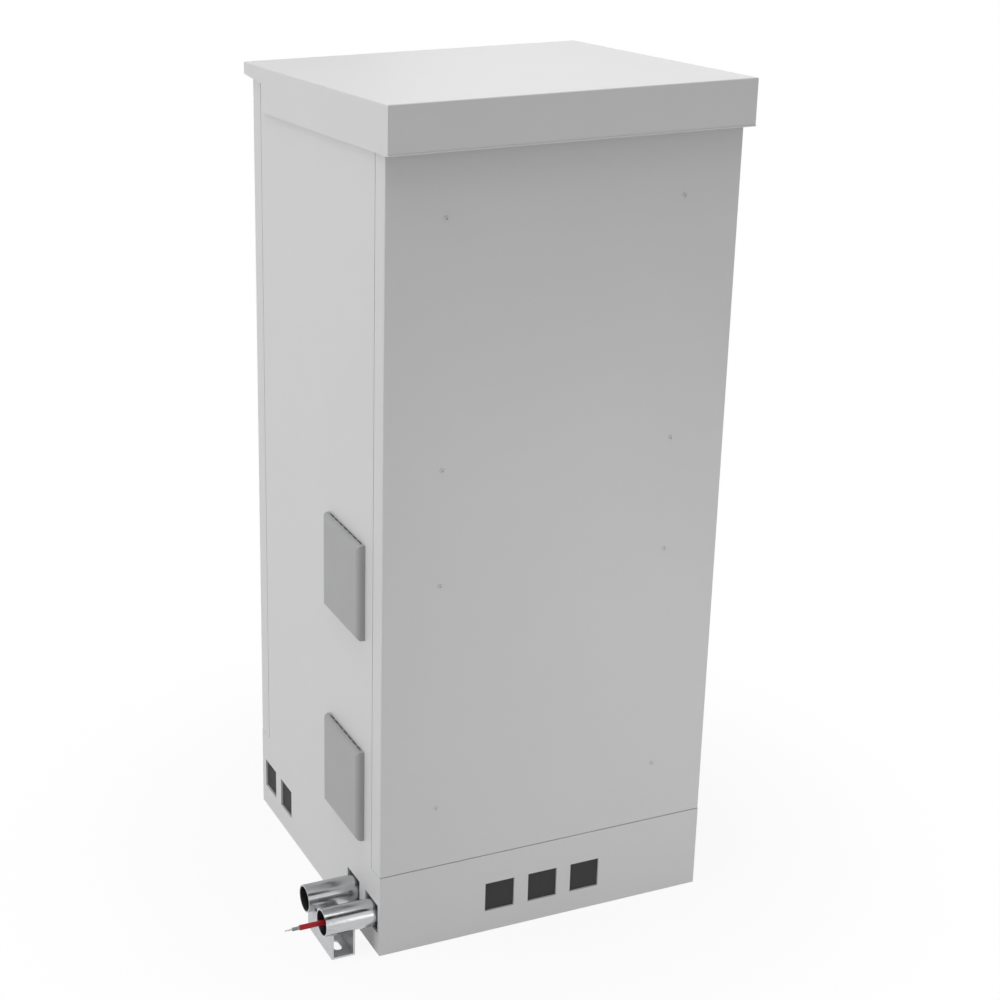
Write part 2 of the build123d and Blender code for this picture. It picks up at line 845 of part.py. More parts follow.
support_middle = (near_conduit_y + far_conduit_y) / 2
support_half = entry_pitch / 2 + support_end
channel_middle = half_width + (support_inner + support_outer) / 2
channel_width = support_outer - support_inner
with BuildPart() as conduit_support:
    with BuildSketch(Plane.XZ.offset(-support_middle - support_half)):
        with Locations((channel_middle, support_height / 2)):
            Rectangle(channel_width, support_height)
        with Locations((channel_middle, support_height / 2 + support_thickness)):
            Rectangle(channel_width - 2 * support_thickness, support_height, mode=Mode.SUBTRACT)
    extrude(amount=2 * support_half)
    with BuildSketch(Plane.YZ.offset(half_width)):
        with Locations(*conduit_entries):
            Circle(conduit_radius + seat_gap)
    extrude(amount=2 * support_outer, mode=Mode.SUBTRACT)
    with BuildSketch(Plane.XY):
        with Locations((channel_middle, support_middle)):
            with GridLocations(0, support_slot_spacing, 1, 2):
                SlotOverall(support_slot_length, support_slot_width, rotation=90)
    extrude(amount=support_thickness, mode=Mode.SUBTRACT)
save(conduit_support.part, "conduit_support")


# Filter hoods, frames and mats on the right side
def rolled_block(level, inset):
    """The hood's outer form, or its hollow when inset by the wall, with a rolled face edge."""
    with BuildPart() as rolled:
        with BuildSketch(Plane.YZ.offset(half_width)):
            with Locations((hood_y, level)):
                Rectangle(hood_width - 2 * inset, hood_height - 2 * inset)
        extrude(amount=hood_depth - inset)
        fillet(rolled.faces().sort_by(Axis.X)[-1].edges(), hood_edge - inset)
    return rolled.part


def filter_hood(level):
    """A shallow moulded cover with rolled edges, a thumb scoop and a row of air slots."""
    with BuildPart() as hood:
        add(rolled_block(level, 0))
        add(rolled_block(level, hood_wall), mode=Mode.SUBTRACT)
        sink = scoop_radius - math.sqrt(scoop_radius**2 - scoop_mark**2)
        scoop_z = level + hood_height / 2 - scoop_drop + scoop_mark
        with Locations((half_width + hood_depth - sink + scoop_radius, hood_y, scoop_z)):
            Sphere(scoop_radius, mode=Mode.SUBTRACT)
        slot_x = half_width + (hood_depth - hood_edge) / 2
        with BuildSketch(Plane.XY.offset(level - hood_height / 2)):
            with Locations((slot_x, hood_y)):
                with GridLocations(0, hood_slot_pitch, 1, hood_slot_count):
                    Rectangle(hood_slot_width, hood_slot)
        extrude(amount=hood_height, mode=Mode.SUBTRACT)
    return hood.part


def filter_frame(level, with_fan):
    """A moulded duct through the side sheet, with a grid for the mat and an end wall."""
    inner_width = duct_width - 2 * duct_wall
    inner_height = duct_height - 2 * duct_wall
    outer_face = half_width + duct_flange_thickness
    with BuildPart() as frame:
        with BuildSketch(Plane.YZ.offset(duct_x)):
            with Locations((hood_y, level)):
                Rectangle(duct_width, duct_height)
        extrude(amount=duct_depth)
        with BuildSketch(Plane.YZ.offset(half_width)):
            with Locations((hood_y, level)):
                Rectangle(duct_width + 2 * duct_flange, duct_height + 2 * duct_flange)
        extrude(amount=duct_flange_thickness)
        with BuildSketch(Plane.YZ.offset(duct_x + duct_end)):
            with Locations((hood_y, level)):
                Rectangle(inner_width, inner_height)
        extrude(amount=outer_face - duct_x - duct_end, mode=Mode.SUBTRACT)
        with BuildSketch(Plane.YZ.offset(half_width - grid_bar)):
            with Locations((hood_y, level)):
                with GridLocations(grid_pitch, 0, grid_count, 1):
                    Rectangle(grid_bar, inner_height)
                Rectangle(inner_width, grid_bar)
        extrude(amount=grid_bar)
        with BuildSketch(Plane.YZ.offset(duct_x)):
            with Locations((hood_y, level)):
                if with_fan:
                    Circle(fan_bore / 2)
                else:
                    with GridLocations(0, louvre_pitch, 1, louvre_count):
                        Rectangle(inner_width - 2 * duct_flange, louvre_height)
        extrude(amount=duct_end, mode=Mode.SUBTRACT)
    return frame.part


def filter_mat(level):
    """The filter mat between the frame's grid and the hood."""
    with BuildPart() as mat:
        with BuildSketch(Plane.YZ.offset(half_width + seat_gap)):
            with Locations((hood_y, level)):
                shrink = 2 * duct_wall + 2 * mat_side_gap
                Rectangle(duct_width - shrink, duct_height - shrink)
        extrude(amount=hood_depth - hood_wall - 2 * seat_gap)
    return mat.part


for name, level in (("upper", upper_hood_height), ("lower", lower_hood_height)):
    save(filter_hood(level), name + "_hood")
    save(filter_frame(level, name == "lower"), name + "_filter_frame")
    save(filter_mat(level), name + "_filter_mat")

# The fan behind the lower filter: its frame with four struts and a shaft
fan_place = (hood_y, lower_hood_height)
with BuildPart() as fan_frame:
    with BuildSketch(Plane.YZ.offset(fan_inner_x)):
        with Locations(fan_place):
            RectangleRounded(fan_size, fan_size, fan_corner)
            Circle(fan_bore / 2, mode=Mode.SUBTRACT)
    extrude(amount=fan_depth)
    with BuildSketch(Plane.YZ.offset(fan_inner_x)):
        with Locations(fan_place):
            Circle(motor_diameter / 2)
            Rectangle(fan_bore + strut_width, strut_width)
            Rectangle(strut_width, fan_bore + strut_width)
    extrude(amount=motor_base)
    with BuildSketch(Plane.YZ.offset(fan_inner_x + motor_base)):
        with Locations(fan_place):
            Circle(shaft_diameter / 2)
    extrude(amount=shaft_length)
save(fan_frame.part, "fan_frame")

# The rotor: a hub with twisted blades lofted from root to tip
hub_x = fan_inner_x + motor_base + hub_gap
blade_middle = hub_x + hub_length / 2


def blade_plane(angle, radius, pitch):
    """A plane across the blade at this radius, turned by the blade's pitch."""
    turn = math.radians(angle)
    lean = math.radians(pitch)
    outward = Vector(0, math.cos(turn), math.sin(turn))
    around = Vector(0, -math.sin(turn), math.cos(turn))
    chord = Vector(math.cos(lean), 0, 0) + around * math.sin(lean)
    centre = Vector(blade_middle, hood_y, lower_hood_height) + outward * radius
    return Plane(origin=centre, x_dir=chord, z_dir=outward)


with BuildPart() as fan_rotor:
    for number in range(blade_count):
        angle = number * 360 / blade_count
        with BuildSketch(blade_plane(angle, blade_root, blade_root_pitch)):
            Rectangle(blade_root_chord, blade_thickness)
        with BuildSketch(blade_plane(angle, blade_tip, blade_tip_pitch)):
            Rectangle(blade_tip_chord, blade_thickness)
        loft()
    with BuildSketch(Plane.YZ.offset(hub_x)):
        with Locations(fan_place):
            Circle(motor_diameter / 2)
    extrude(amount=hub_length)
    with BuildSketch(Plane.YZ.offset(hub_x)):
        with Locations(fan_place):
            Circle(shaft_diameter / 2 + running_fit)
    extrude(amount=shaft_length + seat_gap, mode=Mode.SUBTRACT)
save(fan_rotor.part, "fan_rotor")

with BuildPart() as fan_guard:
    with BuildSketch(Plane.YZ.offset(fan_inner_x - guard_wire)):
        with Locations(fan_place):
            for radius in guard_rings:
                Circle(radius + guard_wire / 2)
                Circle(radius - guard_wire / 2, mode=Mode.SUBTRACT)
            for turn in (45, 135):
                Rectangle(fan_size * math.sqrt(2) - 2 * fan_corner, guard_wire, rotation=turn)
    extrude(amount=guard_wire)
save(fan_guard.part, "fan_guard")

# The fan's temperature switch on the right side sheet, with its knob
with BuildPart() as fan_switch_body:
    with BuildSketch(Plane.YZ.offset(inner_x - fan_switch_depth)):
        with Locations((fan_switch_y, fan_switch_z)):
            RectangleRounded(fan_switch_width, fan_switch_height, fan_switch_edge)
    extrude(amount=fan_switch_depth)
    with BuildSketch(Plane.YZ.offset(inner_x - fan_switch_depth)):
        with Locations((fan_switch_y, fan_switch_z - knob_drop)):
            Circle(knob_stem / 2 + running_fit)
    extrude(amount=knob_stem_length + seat_gap, mode=Mode.SUBTRACT)
save(fan_switch_body.part, "fan_switch_body")

knob_back = inner_x - fan_switch_depth - seat_gap
with BuildPart() as fan_switch_knob:
    with BuildSketch(Plane.YZ.offset(knob_back - knob_height)):
        with Locations((fan_switch_y, fan_switch_z - knob_drop)):
            Circle(knob_diameter / 2)
    extrude(amount=knob_height)
    with BuildSketch(Plane.YZ.offset(knob_back - knob_height - knob_ridge / 2)):
        with Locations((fan_switch_y, fan_switch_z - knob_drop)):
            Rectangle(knob_ridge, knob_diameter - knob_ridge)
    extrude(amount=knob_ridge / 2)
    with BuildSketch(Plane.YZ.offset(knob_back)):
        with Locations((fan_switch_y, fan_switch_z - knob_drop)):
            Circle(knob_stem / 2)
    extrude(amount=knob_stem_length)
save(fan_switch_knob.part, "fan_switch_knob")

# The floor entry: a plate over the floor's opening, with a grommet for the cable
plate_top = floor_top + entry_plate_thickness
grommet_x = terminal_x + grommet_shift_x
grommet_y = terminal_y + grommet_shift_y
with BuildPart() as floor_entry_plate:
    with Locations((terminal_x, entry_plate_y, floor_top + entry_plate_thickness / 2)):
        Box(entry_plate_width, entry_plate_length, entry_plate_thickness)
    with Locations((grommet_x, grommet_y, plate_top)):
        Hole(grommet_diameter / 2 + seat_gap)
save(floor_entry_plate.part, "floor_entry_plate")

with BuildPart() as cable_grommet:
    with BuildSketch(Plane.XY.offset(floor_top)):
        with Locations((grommet_x, grommet_y)):
            Circle(grommet_diameter / 2)
    extrude(amount=entry_plate_thickness)
    with BuildSketch(Plane.XY.offset(plate_top)):
        with Locations((grommet_x, grommet_y)):
            Circle(grommet_flange / 2)
    extrude(amount=grommet_lip)
    with Locations((grommet_x, grommet_y, plate_top + grommet_lip)):
        Hole(cable_diameter / 2 + grommet_clearance)
save(cable_grommet.part, "cable_grommet")

bracket_bottom = plate_top + seat_gap
with BuildPart() as terminal_bracket:
    with BuildSketch(Plane.XY.offset(bracket_bottom)):
        with Locations((terminal_x, terminal_back + sheet / 2)):
            Rectangle(bracket_width, sheet)
        with Locations((terminal_x, ring_back - bracket_flange / 2)):
            Rectangle(bracket_width, bracket_flange)
            with Locations((0, -sheet)):
                Rectangle(bracket_width - 2 * sheet, bracket_flange, mode=Mode.SUBTRACT)
    extrude(amount=terminal_z + terminal_height + bracket_over - bracket_bottom)
save(terminal_bracket.part, "terminal_bracket")

with BuildPart() as terminal_block:
    with Locations((terminal_x, terminal_back - terminal_depth / 2, terminal_z + terminal_height / 2)):
        Box(terminal_width - 2 * sheet, terminal_depth, terminal_height)
    with BuildSketch(Plane.XZ.offset(terminal_depth - terminal_back)):
        with Locations((terminal_x, terminal_z + terminal_height / 2)):
            with GridLocations(terminal_width / 4, 2 * terminal_slot, 3, 2):
                Rectangle(terminal_slot, terminal_slot)
    extrude(amount=-terminal_slot_depth, mode=Mode.SUBTRACT)
save(terminal_block.part, "terminal_block")

# The earth bar on the left side sheet: one bar with two raised ends
with BuildPart() as earth_bar:
    with BuildSketch(Plane.XY.offset(earth_z)):
        half = earth_length / 2
        with Locations((-inner_x + earth_thickness / 2, earth_y)):
            with GridLocations(0, 2 * half + earth_foot - earth_thickness, 1, 2):
                Rectangle(earth_thickness, earth_foot)
        with Locations((-inner_x + earth_rise / 2, earth_y)):
            with GridLocations(0, 2 * half - earth_thickness, 1, 2):
                Rectangle(earth_rise, earth_thickness)
        with Locations((-inner_x + earth_rise - earth_thickness / 2, earth_y)):
            Rectangle(earth_thickness, 2 * half)
    extrude(amount=earth_width)
    with BuildSketch(Plane.YZ.offset(-inner_x + earth_rise)):
        with Locations((earth_y, earth_z + earth_width / 2)):
            with GridLocations(earth_hole_pitch, 0, earth_hole_count, 1):
                Circle(earth_hole / 2)
    extrude(amount=-earth_thickness, mode=Mode.SUBTRACT)
save(earth_bar.part, "earth_bar")

# The cable: from its stripped tip through the near conduit and the floor to the terminal
sheath_end = conduit_end + cable_sheath_beyond
cable_route = [
    Vector(sheath_end, near_conduit_y, entry_height + 0.5),
    Vector(sheath_end - 100, near_conduit_y - 0.6, entry_height),
    Vector(366, near_conduit_y, entry_height + 0.4),
    Vector(312, 330, 91),
    Vector(276, 324, 112),
    Vector(257, 313, 148),
    Vector(251.4, 303.6, 186),
    Vector(terminal_x, terminal_y, 242),
    Vector(terminal_x, terminal_y, terminal_z - seat_gap),
]


def route_radii(points):
    """The largest arc that each corner's two runs allow."""
    radii = []
    for before, corner, after in zip(points, points[1:], points[2:]):
        run_in = corner - before
        run_out = after - corner
        half_turn = math.radians(run_in.get_angle(run_out)) / 2
        radii.append(0.45 * min(run_in.length, run_out.length) / math.tan(half_turn))
    return radii


cable_radii = route_radii(cable_route)
print("cable radii", [round(radius) for radius in cable_radii])

with BuildPart() as power_cable:
    with BuildLine() as route:
        FilletPolyline(*cable_route, radius=cable_radii)
    tip_way = (cable_route[0] - cable_route[1]).normalized()
    with BuildSketch(Plane(origin=cable_route[0], z_dir=tip_way * -1)):
        Circle(cable_diameter / 2)
    sweep(path=route.line)
    core_plane = Plane(origin=cable_route[0], z_dir=tip_way)
    with BuildSketch(core_plane):
        Circle(cable_core_diameter / 2)
    extrude(amount=cable_core)
    with BuildSketch(core_plane.offset(cable_core)):
        Circle(cable_wire_diameter / 2)
    extrude(amount=cable_wire)
save(power_cable.part, "power_cable")
route_length = sum(edge.length for edge in route.line.edges())
print("cable length", round(route_length), "volume", round(power_cable.part.volume))
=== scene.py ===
# %% [markdown]
# An outdoor rack cabinet, dressed for a studio picture.
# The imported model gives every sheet, rail and hood in its real place. This script adds
# the camera, the light, the finishes and the few forms that are too fine for solid
# modelling, such as the strands at the stripped end of the cable.

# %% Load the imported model
import math

import bmesh
import bpy
from mathutils import Matrix, Vector


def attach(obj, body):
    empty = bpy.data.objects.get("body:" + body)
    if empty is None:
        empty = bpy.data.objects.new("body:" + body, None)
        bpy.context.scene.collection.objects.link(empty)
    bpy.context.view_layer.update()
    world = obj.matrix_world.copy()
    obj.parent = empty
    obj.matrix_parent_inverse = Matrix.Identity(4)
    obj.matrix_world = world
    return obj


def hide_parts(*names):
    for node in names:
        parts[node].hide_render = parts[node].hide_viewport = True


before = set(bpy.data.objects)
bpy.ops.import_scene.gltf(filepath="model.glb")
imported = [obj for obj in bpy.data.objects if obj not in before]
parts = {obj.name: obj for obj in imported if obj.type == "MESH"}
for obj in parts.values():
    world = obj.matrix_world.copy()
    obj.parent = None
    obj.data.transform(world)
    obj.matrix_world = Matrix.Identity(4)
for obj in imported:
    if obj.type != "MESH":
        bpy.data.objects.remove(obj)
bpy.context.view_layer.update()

print("pieces from the model:", len(parts))

# %% [markdown]
# The camera comes first, so that every later look is through the photograph's own view.
# It stands behind the cabinet on the side of the hoods, a little above it, with a long
# lens and a slight roll. It could be set by hand in the viewport, but a place, an aim and
# a roll that were solved from the cabinet's edges give the same frame every time.

# %% Camera
CAMERA_PLACE = Vector((2.0486, 4.3277, 2.8446))
CAMERA_AIM = Vector((-0.0397, 0.0193, 0.8915))
CAMERA_ROLL = 1.625
LENS_MM = 81.6
SENSOR_MM = 36
NEAREST_SEEN = 0.05
FARTHEST_SEEN = 60

camera_data = bpy.data.cameras.new("photo_camera")
camera_data.lens = LENS_MM
camera_data.sensor_width = SENSOR_MM
camera_data.clip_start = NEAREST_SEEN
camera_data.clip_end = FARTHEST_SEEN
camera = bpy.data.objects.new("photo_camera", camera_data)
bpy.context.collection.objects.link(camera)
look = (CAMERA_AIM - CAMERA_PLACE).to_track_quat("-Z", "Y").to_matrix().to_4x4()
roll = Matrix.Rotation(math.radians(CAMERA_ROLL), 4, "Z")
camera.matrix_world = Matrix.Translation(CAMERA_PLACE) @ look @ roll
bpy.context.scene.camera = camera
print("camera is", round((CAMERA_AIM - CAMERA_PLACE).length, 2), "m from its aim")

# %% [markdown]
# A few small helpers serve every material. One turns a written sRGB colour into the
# linear numbers that shaders use. One adds a node, sets it and links it. The others give
# an empty node tree and the start of a finish. All of this could be clicked together in
# the shader editor; written down, each finish needs only its own numbers.

# %% Colour and node helpers
WHITE = (1, 1, 1, 1)


def paint(code):
    """Turn an sRGB hex value such as #d9d9d6 into a linear colour."""
    shares = [int(code[i : i + 2], 16) / 255 for i in (1, 3, 5)]
    linear = [c / 12.92 if c <= 0.04045 else ((c + 0.055) / 1.055) ** 2.4 for c in shares]
    return (*linear, 1.0)


def add_node(tree, kind, inputs=(), **settings):
    """Add a node, set its properties, then set or link each named or numbered input."""
    made = tree.nodes.new(kind)
    for name, value in settings.items():
        setattr(made, name, value)
    for name, value in dict(inputs).items():
        if isinstance(value, bpy.types.NodeSocket):
            tree.links.new(value, made.inputs[name])
        else:
            made.inputs[name].default_value = value
    return made


def empty_tree(owner):
    """Switch a material or the world to nodes and clear them."""
    owner.use_nodes = True
    owner.node_tree.nodes.clear()
    return owner.node_tree


def begin_material(name, roughness, metallic=0.0):
    """Start a material: its tree, its shader and the object coordinates that patterns read."""
    material = bpy.data.materials.new(name)
    tree = empty_tree(material)
    place = add_node(tree, "ShaderNodeTexCoord").outputs["Object"]
    shader = add_node(tree, "ShaderNodeBsdfPrincipled")
    shader.inputs["Roughness"].default_value = roughness
    shader.inputs["Metallic"].default_value = metallic
    add_node(tree, "ShaderNodeOutputMaterial", {"Surface": shader.outputs["BSDF"]})
    return material, tree, shader, place


print("linear value of mid grey #808080:", round(paint("#808080")[0], 3))

# %% [markdown]
# The floor is a plain white sheet of paper with the object's soft shadow on it, because
# the photograph's background is pure white. More lamp light would whiten it too, but
# would bleach the cabinet. So a Light Path node lets the camera see the sheet as white,
# and a share of real shading keeps the shadow near the cabinet. That share fades with
# the distance from the middle of the floor, so no horizon shows.

# %% Floor sheet
FLOOR_HALF = 9.0


def studio_card(name, turned=Matrix.Identity(4), half=1.0):
    """A flat square card for the studio, with its place in its mesh."""
    form = bmesh.new()
    bmesh.ops.create_grid(form, x_segments=1, y_segments=1, size=half)
    bmesh.ops.transform(form, matrix=turned, verts=form.verts)
    mesh = bpy.data.meshes.new(name)
    form.to_mesh(mesh)
    form.free()
    card = bpy.data.objects.new(name, mesh)
    bpy.context.collection.objects.link(card)
    return card


studio_floor = studio_card("studio_floor", half=FLOOR_HALF)
print("floor", 2 * FLOOR_HALF, "m wide")

# %% Floor paper
SHADOW_SHARE = 0.1
SHADOW_NEAR = 0.45
SHADOW_FAR = 1.3


def shows_plainly(tree):
    """One for each ray that shows the background itself: straight, mirrored or through glass."""
    rays = add_node(tree, "ShaderNodeLightPath")
    total = rays.outputs["Is Camera Ray"]
    for kind in ("Is Glossy Ray", "Is Transmission Ray"):
        both = {0: total, 1: rays.outputs[kind]}
        added = add_node(tree, "ShaderNodeMath", both, operation="ADD", use_clamp=True)
        total = added.outputs["Value"]
    return total


white_paper = bpy.data.materials.new("white_paper")
tree = empty_tree(white_paper)
matt = add_node(tree, "ShaderNodeBsdfDiffuse", {"Color": paint("#ececec")})
glow = add_node(tree, "ShaderNodeEmission", {"Color": WHITE, "Strength": 1.0})
floor_place = add_node(tree, "ShaderNodeTexCoord").outputs["Object"]
away = add_node(tree, "ShaderNodeVectorMath", {0: floor_place}, operation="LENGTH")
whiteness = add_node(
    tree,
    "ShaderNodeMapRange",
    {
        "Value": away.outputs["Value"],
        "From Min": SHADOW_NEAR,
        "From Max": SHADOW_FAR,
        "To Min": 1 - SHADOW_SHARE,
        "To Max": 1.0,
    },
    interpolation_type="SMOOTHSTEP",
)
share = add_node(
    tree,
    "ShaderNodeMath",
    {0: shows_plainly(tree), 1: whiteness.outputs["Result"]},
    operation="MULTIPLY",
)
mixed = add_node(
    tree,
    "ShaderNodeMixShader",
    {0: share.outputs["Value"], 1: matt.outputs["BSDF"], 2: glow.outputs["Emission"]},
)
add_node(tree, "ShaderNodeOutputMaterial", {"Surface": mixed.outputs["Shader"]})
studio_floor.data.materials.append(white_paper)
print("shadow fades from", SHADOW_NEAR, "m to", SHADOW_FAR, "m")

# %% [markdown]
# The world is a white room. The camera and mirrors see it as white, and as a lamp it is a
# quieter grey, so that the cabinet's pale sheets keep their tone. An image of a real
# studio could light the scene too, but a plain world needs no file.

# %% World
WORLD_LIGHT = 0.37

world = bpy.data.worlds.new("studio_world")
bpy.context.scene.world = world
tree = empty_tree(world)
lamp_part = add_node(tree, "ShaderNodeBackground", {"Color": WHITE, "Strength": WORLD_LIGHT})
white_part = add_node(tree, "ShaderNodeBackground", {"Color": WHITE, "Strength": 1.0})
mixed = add_node(
    tree,
    "ShaderNodeMixShader",
    {
        0: shows_plainly(tree),
        1: lamp_part.outputs["Background"],
        2: white_part.outputs["Background"],
    },
)
add_node(tree, "ShaderNodeOutputWorld", {"Surface": mixed.outputs["Shader"]})
print("world light:", WORLD_LIGHT)

# %% [markdown]
# Four large soft lamps stand round the cabinet. In the photograph the hood side is the
# brightest upright face, the rear is darker and the roof is lit from above. One lamp or
# the world alone would make all faces alike, so each face has a lamp of its own strength.

# %% Lamps
# Each lamp: its name, its place, the place it faces, its width in metres, its watts.
LAMPS = [
    ("ceiling_lamp", (0.6, 0.4, 5.2), (0, 0, 1.4), 3.6, 90),
    ("hood_side_lamp", (5.2, -0.4, 1.8), (0, 0, 0.8), 3.4, 86),
    ("rear_lamp", (-0.7, 2.1, 0.25), (-0.05, 0.38, 0.25), 0.9, 8.5),
    ("door_side_lamp", (-3.4, -5.0, 1.5), (0, 0, 0.9), 3.0, 36),
]

for name, place, aim, width, watts in LAMPS:
    lamp_data = bpy.data.lights.new(name, "AREA")
    lamp_data.shape = "SQUARE"
    lamp_data.size = width
    lamp_data.energy = watts
    lamp = bpy.data.objects.new(name, lamp_data)
    bpy.context.collection.objects.link(lamp)
    facing = (Vector(aim) - Vector(place)).to_track_quat("-Z", "Y").to_matrix().to_4x4()
    lamp.matrix_world = Matrix.Translation(Vector(place)) @ facing
    lamp.visible_camera = False
    print("lamp", name, watts, "W")

# %% [markdown]
# The conduits in the photograph mirror something dark above the rear of the cabinet. The
# streak could be painted on the steel, but it would stay there in every other view. A
# studio uses a flag instead: a black card out of the picture. Only reflections see it.

# %% Dark flag
FLAG_PLACE = Vector((-0.5, 1.9, 2.6))
FLAG_FACES = Vector((0.46, 0.33, 0.09))
FLAG_HALF_WIDTH = 1.5
FLAG_HALF_HEIGHT = 0.6

flag_size = Matrix.Diagonal((FLAG_HALF_WIDTH, FLAG_HALF_HEIGHT, 1, 1))
flag_turn = (FLAG_FACES - FLAG_PLACE).to_track_quat("Z", "Y").to_matrix().to_4x4()
dark_flag = studio_card("dark_flag", Matrix.Translation(FLAG_PLACE) @ flag_turn @ flag_size)
for sense in ("camera", "diffuse", "shadow", "transmission"):
    setattr(dark_flag, "visible_" + sense, False)
flag_cloth = bpy.data.materials.new("black_flag_cloth")
tree = empty_tree(flag_cloth)
cloth = add_node(tree, "ShaderNodeEmission", {"Color": paint("#2c2c2c"), "Strength": 1.0})
add_node(tree, "ShaderNodeOutputMaterial", {"Surface": cloth.outputs["Emission"]})
dark_flag.data.materials.append(flag_cloth)
print("flag", 2 * FLAG_HALF_WIDTH, "m by", 2 * FLAG_HALF_HEIGHT, "m")

# %% [markdown]
# The cable runs from the terminal block down through the floor grommet, along the
# plinth and out through the near conduit, where it was cut and stripped. It could be a
# pipe of straight runs and bends, but a real cord is one smooth curve. So it is a NURBS
# spline whose control points are the route's own points.

# %% Cable route
MM = 0.001
CABLE_MM = 12
CABLE_ROUTE_MM = [
    (250, 300, 291.7),
    (250, 300, 242),
    (251.4, 303.6, 186),
    (257, 313, 148),
    (276, 324, 112),
    (312, 330, 91),
    (366, 331, 88.4),
    (470, 330.4, 88),
    (570, 331, 88.5),
]
STEPS_PER_SPAN = 16
STEPS_ROUND = 8


def cord_curve(name, points_mm, thickness_mm):
    """A round cord as one open NURBS spline through its route.

    The tube's radius is the bevel depth times the radius of the points. The box of a
    curve grows by the points' radius alone, so that holds the real size here.
    """
    curve = bpy.data.curves.new(name, "CURVE")
    curve.dimensions = "3D"
    curve.resolution_u = STEPS_PER_SPAN
    curve.bevel_depth = 1.0
    curve.bevel_resolution = STEPS_ROUND
    curve.use_fill_caps = True
    line = curve.splines.new("NURBS")
    line.points.add(len(points_mm) - 1)
    for point, place in zip(line.points, points_mm):
        point.co = (*(Vector(place) * MM), 1.0)
        point.radius = thickness_mm / 2 * MM
    line.order_u = 3
    line.use_endpoint_u = True
    made = bpy.data.objects.new(name, curve)
    bpy.context.collection.objects.link(made)
    return made


cable_sheath = cord_curve("cable_sheath", CABLE_ROUTE_MM, CABLE_MM)
print("cable route has", len(CABLE_ROUTE_MM), "points")

# %% [markdown]
# At the cut end the red sheath is stripped back and a round grey inner core shows. It is
# extruded from a circle, and its end is bevelled a little, as a knife leaves it. A curve
# would do for the core too, but has no such edge.

# %% Stripped core
CORE_MM = 8
CORE_LENGTH_MM = 18
CORE_OVERLAP_MM = 0.5
CORE_EDGE_MM = 0.5
CORE_SIDES = 48
SHARP_FROM = 35

cable_end = Vector(CABLE_ROUTE_MM[-1]) * MM
cable_way = (Vector(CABLE_ROUTE_MM[-1]) - Vector(CABLE_ROUTE_MM[-2])).normalized()


def finish_mesh(name, form, sharp_from=SHARP_FROM):
    """Write a bmesh to an object, with smooth faces and sharp edges where they turn hard."""
    mesh = bpy.data.meshes.new(name)
    form.to_mesh(mesh)
    form.free()
    mesh.shade_smooth()
    mesh.set_sharp_from_angle(angle=math.radians(sharp_from))
    made = bpy.data.objects.new(name, mesh)
    bpy.context.collection.objects.link(made)
    return made


def lay_along(form, start, way):
    """Turn a form that stands on +Z so that it starts at a point and runs along a way."""
    turn = way.to_track_quat("Z", "Y").to_matrix().to_4x4()
    bmesh.ops.transform(form, matrix=Matrix.Translation(start) @ turn, verts=form.verts)


core_form = bmesh.new()
bmesh.ops.create_circle(core_form, cap_ends=True, segments=CORE_SIDES, radius=CORE_MM / 2 * MM)
pushed = bmesh.ops.extrude_face_region(core_form, geom=core_form.faces[:])
core_top = [item for item in pushed["geom"] if isinstance(item, bmesh.types.BMVert)]
bmesh.ops.translate(core_form, vec=(0, 0, CORE_LENGTH_MM * MM), verts=core_top)
bmesh.ops.recalc_face_normals(core_form, faces=core_form.faces)
rim = [edge for edge in core_form.edges if all(vert.co.z > MM for vert in edge.verts)]
bmesh.ops.bevel(
    core_form,
    geom=rim,
    offset=CORE_EDGE_MM * MM,
    offset_type="OFFSET",
    segments=3,
    profile=0.5,
    affect="EDGES",
    material=-1,
)
lay_along(core_form, cable_end - cable_way * CORE_OVERLAP_MM * MM, cable_way)
cable_core = finish_mesh("cable_core", core_form)
print("core:", CORE_MM, "mm thick,", CORE_LENGTH_MM, "mm long")

# %% [markdown]
# Beyond the core the wire is bare: a bundle of thin strands with a slight twist. One rod
# with a striped material would look smooth at its end. So each strand is a small disc
# that is spun round the bundle's middle line while it rises, one in the middle and six
# round it, and their ends are cut a little unevenly.

# %% Bare strands
STRAND_MM = 1.5
STRAND_LENGTH_MM = 16
STRAND_UNEVEN_MM = 0.35
STRAND_PITCH = 1.02
STRAND_SIDES = 14
STRAND_STEPS = 12
STRAND_TWIST = 110
STRAND_SHARP_FROM = 50
OUTER_STRANDS = 6

ring_radius = STRAND_MM * STRAND_PITCH * MM
ring_turns = [math.radians(360 / OUTER_STRANDS * step) for step in range(OUTER_STRANDS)]
strand_places = [(0.0, 0.0)] + [
    (ring_radius * math.cos(turn), ring_radius * math.sin(turn)) for turn in ring_turns
]
strand_form = bmesh.new()
for count, (across, up) in enumerate(strand_places):
    disc = bmesh.ops.create_circle(
        strand_form, cap_ends=True, segments=STRAND_SIDES, radius=STRAND_MM / 2 * MM
    )["verts"]
    bmesh.ops.translate(strand_form, vec=(across, up, 0), verts=disc)
    disc_edges = list({edge for vert in disc for edge in vert.link_edges})
    disc_faces = list({face for vert in disc for face in vert.link_faces})
    length = (STRAND_LENGTH_MM - STRAND_UNEVEN_MM * (count % 3)) * MM
    bmesh.ops.spin(
        strand_form,
        geom=disc + disc_edges + disc_faces,
        cent=(0, 0, 0),
        axis=(0, 0, 1),
        dvec=(0, 0, length / STRAND_STEPS),
        angle=math.radians(STRAND_TWIST),
        steps=STRAND_STEPS,
        use_duplicate=False,
    )
bmesh.ops.recalc_face_normals(strand_form, faces=strand_form.faces)
core_end = cable_end + cable_way * (CORE_LENGTH_MM - CORE_OVERLAP_MM) * MM
lay_along(strand_form, core_end, cable_way)
cable_strands = finish_mesh("cable_strands", strand_form, STRAND_SHARP_FROM)
